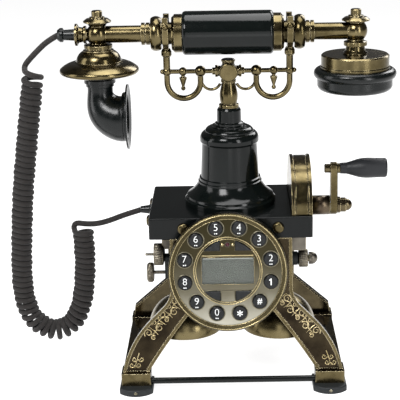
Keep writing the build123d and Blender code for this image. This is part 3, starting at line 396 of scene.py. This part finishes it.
looks = {
    "brass": antique_brass(
        "antique_brass_cast", (0.055, 0.043, 0.019), (0.150, 0.118, 0.056), 0.28,
    ),
    "turned": antique_brass(
        "antique_brass_turned", (0.062, 0.049, 0.022), (0.175, 0.140, 0.070), 0.20,
    ),
    "bell": antique_brass(
        "antique_brass_bell", (0.125, 0.100, 0.047), (0.185, 0.150, 0.076), 0.24, 0.5,
    ),
    "front_leg": cast_leg("front_leg_casting", -1),
    "rear_leg": cast_leg("rear_leg_casting", 1),
    "bronze": antique_brass("dark_bronze", (0.045, 0.036, 0.022), (0.14, 0.112, 0.062), 0.18),
    "grey_bronze": antique_brass("grey_bronze", (0.10, 0.09, 0.075), (0.22, 0.20, 0.165), 0.34),
    "bush": antique_brass("bush_bronze", (0.060, 0.044, 0.030), (0.105, 0.080, 0.055), 0.3, 0.3),
    "gilt": antique_brass(
        "gilt_relief", (0.34, 0.27, 0.130), (0.62, 0.51, 0.30), 0.26, 0.5, 0.004,
    ),
    "face": dial_plate_painted_light("dial_brass_painted_light"),
    # pale brass; on the dial rim's two thin rings it is a painted highlight
    "rim": antique_brass("bright_rim", (0.34, 0.28, 0.15), (0.50, 0.42, 0.24), 0.24, 0.0),
    "olive": antique_brass("olive_rim", (0.040, 0.032, 0.015), (0.085, 0.069, 0.034), 0.26, 0.15),
    "pale": antique_brass("pale_rim", (0.19, 0.172, 0.118), (0.36, 0.33, 0.24), 0.30, 0.0),
    "lacquer": lacquer("black_lacquer", (0.0025, 0.0036, 0.0034), 0.13, 0.04, 1.33),
    "satin": lacquer("satin_black", (0.008, 0.010, 0.010), 0.42, 0.1),
    "case": lacquer("case_black", (0.0020, 0.0028, 0.0028), 0.20, 0.02, 1.30),
    "plastic": moulded("moulded_black", (0.0026, 0.0038, 0.0038), 0.24, 0.06),
    "key": moulded("key_black", (0.0018, 0.0025, 0.003), 0.2, 0.03),
    "handle": moulded("handle_grey", (0.011, 0.012, 0.014), 0.45, 0.2),
    "rubber": moulded("foot_rubber", (0.010, 0.012, 0.013), 0.55, 0.25),
    "lamp": moulded("lamp_red", (0.040, 0.006, 0.010), 0.2, 0.03),
    "steel": steel("plain_steel"),
    "glass": display_glass("display_pane"),
    "board": board("green_laminate"),
    "white": printed("white_print", (0.90, 0.91, 0.90)),
    "screen": printed("display_grey", (0.040, 0.048, 0.038), 0.4, 0.12),
    "line": printed("display_line", (0.42, 0.45, 0.42), 0.5),
    "braid": braid("braided_sleeve"),
}

node_looks = {
    "front_legs": "front_leg", "rear_legs": "rear_leg", "side_rails": "bronze",
    "case_screws": "turned", "leg_liners": "bronze", "foot_pads": "rubber",
    "tie_rods": "lacquer", "top_case": "case", "base_plate": "satin", "main_board": "board",
    "tower_column": "lacquer", "cradle_stem": "turned", "cradle_arms": "turned",
    "cradle_forks": "turned", "handset_grip": "lacquer", "grip_ferrules": "turned",
    "handset_rods": "turned", "handset_hubs": "turned", "transmitter_saucer": "turned",
    "mouthpiece_horn": "plastic", "sound_capsules": "satin", "receiver_can": "turned",
    "ear_cap": "plastic", "handset_cord_gland": "turned", "handset_strain_relief": "plastic",
    "gear_drum": "turned", "crank_shaft": "steel", "crank_arm": "brass",
    "crank_fasteners": "bronze", "crank_knob": "handle", "dial_housing": "olive",
    "dial_face": "face", "display_window": "glass", "key_board": "screen", "gongs": "bell",
    "ringer_frame": "satin", "clapper": "steel", "magneto_housing": "satin",
    "terminal_posts": "grey_bronze", "volume_wheel": "grey_bronze", "base_cord_gland": "plastic",
}
for name, node in nodes.items():
    look = node_looks.get(name, "key" if name.startswith(("key_", "function_key")) else "braid")
    node.data.materials.clear()
    node.data.materials.append(looks[look])


def finish_piece(obj, look, body):
    obj.data.materials.clear()
    obj.data.materials.append(looks[look])
    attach(obj, body)
    return obj


# ---------------------------------------------------------------- cord

# The route's points, in metres: out of the handset, down the hanging loop, and up to the case.
upper_route = [(-0.1386, 0, 0.2863), (-0.1475, 0, 0.2816), (-0.1562, 0.0004, 0.2736),
               (-0.1638, 0.0022, 0.2660), (-0.1680, 0.0042, 0.2608)]
coil_route = [(-0.1605, 0, 0.2575), (-0.1628, 0, 0.240), (-0.166, 0, 0.220), (-0.1704, 0, 0.190),
              (-0.1756, 0, 0.154), (-0.179, 0, 0.116), (-0.1816, 0, 0.078), (-0.180, 0, 0.052),
              (-0.172, 0, 0.034), (-0.154, 0, 0.0256), (-0.139, 0, 0.033), (-0.130, 0, 0.052),
              (-0.1266, 0, 0.078), (-0.1256, 0, 0.100), (-0.1266, 0, 0.1186)]
lower_route = [(-0.1348, 0.0034, 0.1212), (-0.1324, 0.0030, 0.1246), (-0.1242, 0.0008, 0.1240),
               (-0.1142, 0, 0.1242), (-0.1032, 0, 0.1270), (-0.090, 0, 0.1322),
               (-0.0765, 0, 0.1362)]
CORD = 4.8 * MM
HELIX = 6.9 * MM  # from the coil's axis to the sleeve's own axis
PITCH_CLOSE, PITCH_BEND, PITCH_FIRST = 4.9 * MM, 6.0 * MM, 9.5 * MM
TURN_POINTS = 16
AXIS_STEP, SLEEVE_STEP = 0.1 * MM, 1.15 * MM
COIL_BOTTOM, BEND_HEIGHT, LOOSE_LENGTH = 26 * MM, 50 * MM, 16 * MM


def smooth_line(points, fineness=24):
    """Points read from a smooth curve that has the route's points as its control points."""
    data = bpy.data.curves.new("route", "CURVE")
    data.dimensions = "3D"
    data.resolution_u = fineness
    spline = data.splines.new("NURBS")
    spline.points.add(len(points) - 1)
    for point, place in zip(spline.points, points):
        point.co = (*place, 1)
    spline.order_u = 3
    spline.use_endpoint_u = True
    carrier = link(bpy.data.objects.new("route", data))
    bpy.context.view_layer.update()
    mesh = bpy.data.meshes.new_from_object(carrier)
    line = [v.co.copy() for v in mesh.vertices]
    bpy.data.objects.remove(carrier)
    bpy.data.meshes.remove(mesh)
    return line


def evenly(line, step):
    """The line again with points a step apart."""
    out, gone, want = [line[0].copy()], 0.0, step
    for a, b in zip(line, line[1:]):
        long = (b - a).length
        while long > 0 and gone + long >= want:
            out.append(a.lerp(b, (want - gone) / long))
            want += step
        gone += long
    if (out[-1] - line[-1]).length > step * 0.25:
        out.append(line[-1].copy())
    return out


def ease(x):
    """0 below 0, 1 above 1, and a smooth step between."""
    x = min(1.0, max(0.0, x))
    return x * x * (3 - 2 * x)


def curly(line):
    """Winds a line into a helix that starts on its left and ends on its inner side.

    The first turns hang open and the turns fan out where the coil bends, and no two are
    quite alike.
    """
    across = Vector((0, 1, 0))
    long = [(b - a).length for a, b in zip(line, line[1:])] + [0.0]
    gone, turns = 0.0, []
    for point, step in zip(line, long):
        low = ease(1 - (point.z - COIL_BOTTOM) / BEND_HEIGHT)
        loose = ease(1 - gone / LOOSE_LENGTH)
        uneven = 0.25 * MM * math.sin(gone * 470) + 0.18 * MM * math.sin(gone * 1130)
        pitch = PITCH_CLOSE + (PITCH_BEND - PITCH_CLOSE) * low
        pitch += (PITCH_FIRST - PITCH_CLOSE) * loose + uneven
        turns.append(step / pitch)
        gone += step
    fit = (round(sum(turns) - 0.5) + 0.5) / sum(turns)
    out, angle, passed, due = [], 0.0, 0.0, 0.0
    for i, point in enumerate(line):
        a, b = line[max(0, i - 1)], line[min(len(line) - 1, i + 1)]
        side = across.cross((b - a).normalized()).normalized()
        if angle >= due - 1e-9 or i == len(line) - 1:
            wide = HELIX * (1 + 0.03 * math.sin(passed * 310) + 0.02 * math.sin(passed * 790))
            out.append(point + wide * (math.cos(angle) * side - math.sin(angle) * across))
            due += math.tau / TURN_POINTS
        angle += math.tau * turns[i] * fit
        passed += long[i]
    return out


def tube(name, line, radius, sides=12):
    """A closed round tube round a line, with sleeve coordinates along and round it."""
    vertices, faces, along = [], [], [0.0]
    normal = Vector((0, 1, 0))
    for i, point in enumerate(line):
        a, b = line[max(0, i - 1)], line[min(len(line) - 1, i + 1)]
        ahead = (b - a).normalized()
        normal = (normal - ahead * normal.dot(ahead)).normalized()
        other = ahead.cross(normal)
        for k in range(sides):
            t = math.tau * k / sides
            vertices.append(point + radius * (math.cos(t) * normal + math.sin(t) * other))
        if i:
            along.append(along[-1] + (point - line[i - 1]).length)
    for i in range(len(line) - 1):
        for k in range(sides):
            n = (k + 1) % sides
            faces.append((i * sides + k, i * sides + n, (i + 1) * sides + n, (i + 1) * sides + k))
    last = (len(line) - 1) * sides
    faces.append(tuple(reversed(range(sides))))
    faces.append(tuple(range(last, last + sides)))
    obj = mesh_object(name, vertices, faces)
    uv = obj.data.uv_layers.new(name="sleeve")
    for polygon in obj.data.polygons:
        corners = list(polygon.vertices)
        wraps = len(corners) == 4 and {c % sides for c in corners} >= {0, sides - 1}
        for loop, corner in zip(polygon.loop_indices, corners):
            k = corner % sides
            turn = 1.0 if wraps and k == 0 else k / sides
            uv.data[loop].uv = (along[corner // sides], turn)
    return obj


axis = evenly(smooth_line(coil_route), AXIS_STEP)
route = upper_route + [tuple(p) for p in curly(axis)] + lower_route
cord_line = evenly(smooth_line(route, 6), SLEEVE_STEP)
cord = tube("handset_cord", cord_line, CORD / 2)
cord.data.materials.append(looks["braid"])
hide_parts("cord_lead_upper", "cord_coil", "cord_lead_lower")
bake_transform(cord)

# ---------------------------------------------------------------- turned details


def lathe(name, origin, axis, profile, look, body, sides=96, flutes=0, depth=0.0):
    """A closed ring or dome: (radius, height) points turned about an axis, fluted if asked."""
    axis = Vector(axis).normalized()
    first = axis.orthogonal().normalized()
    second = axis.cross(first)
    vertices, faces = [], []
    count = len(profile)
    for k in range(sides):
        t = math.tau * k / sides
        groove = depth * (0.5 - 0.5 * math.cos(t * flutes)) if flutes else 0.0
        around = math.cos(t) * first + math.sin(t) * second
        for radius, height in profile:
            reach = max(0.0, radius - (groove if radius > 1.5 * MM else 0.0))
            vertices.append(Vector(origin) + reach * around + height * axis)
    for k in range(sides):
        n = (k + 1) % sides
        for j in range(count):
            m = (j + 1) % count
            faces.append((k * count + j, n * count + j, n * count + m, k * count + m))
    return finish_piece(mesh_object(name, vertices, faces), look, body)


def dial_point(x, y, out=0.0):
    """A place on the dial, in millimetres right of and above its centre and out of its plane."""
    return DIAL_CENTRE + MM * (Vector((x, 0, 0)) + y * LEAN_UP + out * LEAN_OUT)


def ring(name, centre, inner, outer, low, high, look, body):
    """A flat ring with rounded corners on the dial, its heights in millimetres."""
    soft = min(0.25, (high - low) / 3, (outer - inner) / 3)
    profile = [(outer, low), (outer, high - soft), (outer - soft, high), (inner + soft, high),
               (inner, high - soft), (inner, low)]
    return lathe(name, centre, LEAN_OUT, [(r * MM, h * MM) for r, h in profile], look, body)


FACE_RISE, KEY_RING = 1.5, 36.0
PLATE = -0.6  # the dial plate's surface
dial_middle = dial_point(0, FACE_RISE)
# painted highlight: these two thin pale brass rings stand in for the bright lines along the dial
# rim
ring("inner_rim_highlight", dial_point(0, 0), 43.5, 44.3, PLATE, 0.5, "rim", "base")
ring("outer_rim_highlight", dial_point(0, 0), 46.5, 47.4, PLATE, 1.15, "rim", "base")
ring("inner_ring", dial_middle, 27.0, 28.2, PLATE, 0.35, "rim", "base")
ring("inner_ring_step", dial_middle, 25.6, 26.5, PLATE, 0.05, "rim", "base")


def figure(name, text, centre, height, key):
    """A raised white figure on a key."""
    data = bpy.data.curves.new(name, "FONT")
    data.body = text
    data.align_x = "CENTER"
    data.align_y = "CENTER"
    data.size = 1.0
    data.offset = 0.012 if text in "*#" else -0.012
    data.extrude = 0.02
    carrier = link(bpy.data.objects.new(name + "_type", data))
    bpy.context.view_layer.update()
    mesh = bpy.data.meshes.new_from_object(carrier)
    bpy.data.objects.remove(carrier)
    xs = [v.co.x for v in mesh.vertices]
    ys = [v.co.y for v in mesh.vertices]
    scale = height / (max(ys) - min(ys))
    middle_x, middle_y = (max(xs) + min(xs)) / 2, (max(ys) + min(ys)) / 2
    for v in mesh.vertices:
        x, y = (v.co.x - middle_x) * scale, (v.co.y - middle_y) * scale
        v.co = centre + MM * (Vector((x, 0, 0)) + y * LEAN_UP + 6 * v.co.z * LEAN_OUT)
    obj = link(bpy.data.objects.new(name, mesh))
    return finish_piece(obj, "white", key)


def flagged_one(name, centre, height, key):
    """The figure 1 with its flag, as a raised outline."""
    outline = [(-0.09, -0.5), (0.09, -0.5), (0.09, 0.5), (-0.03, 0.5), (-0.14, 0.38),
               (-0.29, 0.30), (-0.29, 0.15), (-0.09, 0.24)]
    count, scale = len(outline), MM * height
    vertices = [
        centre + scale * Vector((x, 0, 0)) + scale * y * LEAN_UP + out * MM * LEAN_OUT
        for out in (-0.1, 0.12)
        for x, y in outline
    ]
    faces = [tuple(reversed(range(count))), tuple(range(count, 2 * count))]
    faces += [(k, (k + 1) % count, count + (k + 1) % count, count + k) for k in range(count)]
    return finish_piece(mesh_object(name, vertices, faces, smooth=False), "white", key)


# Each figure's place round the dial, in degrees from its right.
figures = {
    "1": 345, "2": 15, "3": 45, "4": 75, "5": 105, "6": 135, "7": 165, "8": 195, "9": 225,
    "0": 255, "*": 285, "#": 315,
}
dot_profile = [(0, 0), (0.55 * MM, 0), (0.45 * MM, 0.12 * MM), (0, 0.14 * MM)]
for text, angle in figures.items():
    key = {"*": "key_star", "#": "key_hash"}.get(text, "key_" + text)
    x = KEY_RING * math.cos(math.radians(angle))
    y = FACE_RISE + KEY_RING * math.sin(math.radians(angle))
    size, lift = {"*": (5.2, 0.0), "#": (4.9, 0.3), "1": (5.6, 0.2)}.get(text, (5.5, 1.2))
    if text == "1":
        flagged_one("figure_" + key, dial_point(x, y + lift, 1.55), size, key)
    else:
        figure("figure_" + key, text, dial_point(x, y + lift, 1.55), size, key)
    ring(key + "_rim", dial_point(x, y), 6.0, 6.9, PLATE, -0.25, "pale", "base")
    if lift > 1:
        low = y - 3.9
        for k, across_by in enumerate((-0.75, 0.75)):
            mark = dial_point(x + across_by, low, 1.5)
            lathe(f"{key}_mark_{k}", mark, LEAN_OUT, dot_profile, "white", key, 12)


def plate_piece(name, outline, low, high, look, body, bevel=0.25):
    """A flat bevelled plate on the dial from an outline in dial millimetres."""
    count = len(outline)
    cx = sum(p[0] for p in outline) / count
    cy = sum(p[1] for p in outline) / count
    vertices = []
    for shrink, out in ((0, low), (0, high - bevel), (bevel, high)):
        for x, y in outline:
            away = math.hypot(x - cx, y - cy)
            k = 1 - shrink / away
            vertices.append(dial_point(cx + (x - cx) * k, cy + (y - cy) * k, out))
    faces = [tuple(reversed(range(count))), tuple(range(2 * count, 3 * count))]
    for level in range(2):
        for k in range(count):
            n = (k + 1) % count
            faces.append((level * count + k, level * count + n,
                          (level + 1) * count + n, (level + 1) * count + k))
    obj = mesh_object(name, vertices, faces, smooth=False)
    return finish_piece(obj, look, body)


def wire(name, strokes, thickness, look, body, closed=False):
    """Thin raised lines through lists of points, joined into one mesh."""
    data = bpy.data.curves.new(name, "CURVE")
    data.dimensions = "3D"
    data.bevel_depth = thickness
    data.bevel_resolution = 2
    data.use_fill_caps = True
    data.resolution_u = 6
    for stroke in strokes:
        kind = "POLY" if closed else "NURBS"
        spline = data.splines.new(kind)
        spline.points.add(len(stroke) - 1)
        for k, (point, place) in enumerate(zip(spline.points, stroke)):
            point.co = (*place, 1)
            point.radius = 1.0 if closed else 1.25 - 0.75 * k / (len(stroke) - 1)
        if closed:
            spline.use_cyclic_u = True
        else:
            spline.order_u = 3
            spline.use_endpoint_u = True
    carrier = link(bpy.data.objects.new(name + "_lines", data))
    bpy.context.view_layer.update()
    mesh = bpy.data.meshes.new_from_object(carrier)
    bpy.data.objects.remove(carrier)
    for polygon in mesh.polygons:
        polygon.use_smooth = True
    obj = link(bpy.data.objects.new(name, mesh))
    return finish_piece(obj, look, body)


# The display: a frame, the bright line above the pane, and the edges round the small keys.
def corners(half_x, low, high):
    """A rectangle's corners in dial millimetres; its heights are from the face's middle."""
    low, high = FACE_RISE + low, FACE_RISE + high
    return [(-half_x, low), (half_x, low), (half_x, high), (-half_x, high)]


frame_line = [dial_point(x, y, -0.1) for x, y in corners(21.3, -11.1, 11.1)]
wire("display_frame", [frame_line], 0.35 * MM, "bronze", "base", True)
plate_piece("display_top_line", corners(21, 12.1, 13.1), PLATE, 0.1, "rim", "base")
plate_piece("display_upper_edge", corners(20, 9.9, 10.3), -0.3, -0.05, "line", "base", 0.1)
plate_piece("lower_panel", corners(5.3, -23.6, -16.2), PLATE, 0.0, "face", "base")
for side, name in ((-1, "left"), (1, "right")):
    outline = [(5.8, -16.1), (19.6, -16.1)]
    start, end = math.radians(-40), math.radians(-77)
    for k in range(7):
        t = start + (end - start) * k / 6
        outline.append((25.5 * math.cos(t), 25.5 * math.sin(t)))
    path = [dial_point(side * x, FACE_RISE + y, -0.45) for x, y in outline]
    wire(f"lower_key_edge_{name}", [path], 0.42 * MM, "pale", "base", True)
    lathe(f"lamp_post_{name}", dial_point(side * 4.4, FACE_RISE + 21.5, PLATE), LEAN_OUT,
          [(0, 0), (1.5 * MM, 0), (1.4 * MM, 0.5 * MM), (0.9 * MM, 0.8 * MM), (0, 0.85 * MM)],
          "rim", "base", 32)
lathe("lamp", dial_point(0, FACE_RISE + 21.5, -1.0), LEAN_OUT,
      [(0, 0), (1.9 * MM, 0), (1.9 * MM, 0.5 * MM), (1.3 * MM, 1.2 * MM), (0, 1.5 * MM)],
      "lamp", "base", 32)

# ---------------------------------------------------------------- relief on the front legs


def leg_point(x, drop, out=-0.9):
    """A place on a front leg's face: millimetres right, down the lean, and out of the face."""
    start = Vector((0, -FACE_Y, FACE_Z))
    return start + MM * (Vector((x, 0, 0)) - drop * LEAN_UP + out * LEAN_OUT)


def spiral(x, drop, size, start, hand, turns=1.4, points=13):
    """A scroll that winds in towards its centre; the angle is in degrees."""
    out = []
    for k in range(points):
        t = k / (points - 1)
        angle = math.radians(start) + hand * turns * math.tau * t
        radius = size * (1 - 0.78 * t)
        out.append((x + radius * math.cos(angle), drop - radius * math.sin(angle)))
    return out


# Scrolls down the flare, a stem that weaves between them, and a smaller group over the foot.
flare = [(38.5, 46.0), (43.5, 52.5), (49.5, 58.5), (56.0, 65.0), (62.0, 72.0), (67.5, 80.0)]
scroll_lines = []
for k, (x, drop) in enumerate(flare):
    hand = 1 if k % 2 else -1
    aside = 2.6 * hand
    scroll_lines.append(spiral(x + 0.72 * aside, drop - 0.70 * aside, 3.9, 225 + 90 * hand, hand))
    scroll_lines.append(spiral(x - 0.9 * aside, drop + 0.86 * aside, 2.3, 45 + 90 * hand, -hand))
    if k + 1 < len(flare):
        nx, nd = flare[k + 1]
        mx, md = (x + nx) / 2, (drop + nd) / 2
        scroll_lines.append([(x, drop), (mx + 0.9 * aside, md - 0.9 * aside), (nx, nd)])
        scroll_lines.append([(mx, md), (mx - 1.5 * aside, md + 1.1 * aside)])
        scroll_lines.append([(mx, md), (mx + 1.4 * aside, md - 1.5 * aside)])
foot_group = [(78.6, 100.5), (81.0, 105.5)]
for k, (x, drop) in enumerate(foot_group):
    for hand in (-1, 1):
        scroll_lines.append(spiral(x + 2.8 * hand, drop, 2.4, 90 + 90 * hand, hand, 1.2))
scroll_lines.append([(77.4, 95.0), (79.5, 101.0), (81.5, 108.0)])
for side, name in ((-1, "left"), (1, "right")):
    strokes = [[leg_point(side * x, drop) for x, drop in line] for line in scroll_lines]
    wire(f"leg_scrolls_{name}", strokes, 0.55 * MM, "gilt", "base")

# ---------------------------------------------------------------- knurling, sleeve and screws

SIDE_Y = -20 * MM


def knurl(name, x_from, x_to, height, radius, teeth, look, body):
    """A knurled band round a left-to-right axis beside the housing, just proud of its knob."""
    inner, out, soft, wide = radius - 1.2 * MM, radius + 0.35 * MM, 0.3 * MM, x_to - x_from
    profile = [(inner, 0.0), (out - soft, 0.0), (out, soft), (out, wide - soft),
               (out - soft, wide), (inner, wide)]
    return lathe(name, (x_from, SIDE_Y, height), (1, 0, 0), profile, look, body,
                 teeth * 6, teeth, 0.5 * MM)


knurl("wheel_knurl", -70.3 * MM, -66.5 * MM, 86.8 * MM, 8.0 * MM, 34, "grey_bronze", "volume_wheel")
knurl("left_post_knurl", -64.8 * MM, -57.4 * MM, 102.9 * MM, 9.0 * MM, 36, "grey_bronze", "base")
knurl("right_post_knurl", 57.3 * MM, 64.4 * MM, 97.5 * MM, 7.2 * MM, 30, "grey_bronze", "base")
CRANK_HEIGHT = 138 * MM
sleeve = [(7.9, 68.8), (8.3, 69.0), (8.3, 83.8), (7.9, 84.0)]
lathe("crank_bush_sleeve", (0, 0, CRANK_HEIGHT), (1, 0, 0),
      [(r * MM, x * MM) for r, x in sleeve], "bush", "base", 64)
pads_low, pads_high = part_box("foot_pads")
for side_x in (-1, 1):
    for side_y in (-1, 1):
        place = (side_x * 80.15 * MM, side_y * pads_high[1] - side_y * 0.2 * MM, 2.9 * MM)
        name = f"pad_screw_{'left' if side_x < 0 else 'right'}_{'front' if side_y < 0 else 'back'}"
        lathe(name, place, (0, side_y, 0),
              [(0, 0), (1.5 * MM, 0), (1.4 * MM, 0.4 * MM), (0.8 * MM, 0.75 * MM), (0, 0.8 * MM)],
              "pale", "base", 24)

# ---------------------------------------------------------------- floor and scene bounds

FAR = 60  # metres, so that the floor fills a view from 10 degrees up
floor = mesh_object(
    "floor", [(-FAR, -FAR, 0), (FAR, -FAR, 0), (FAR, FAR, 0), (-FAR, FAR, 0)], [(0, 1, 2, 3)], False
)
white = Tree("floor_white")
paint = white.ramp(white.noise(3, 2), (0.3, 0.40), (0.7, 0.43))
floor.data.materials.append(
    white.set(color=paint, roughness=0.95, glow=(1, 1, 1), glow_strength=0.90)
)
floor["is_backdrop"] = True

low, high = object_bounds()
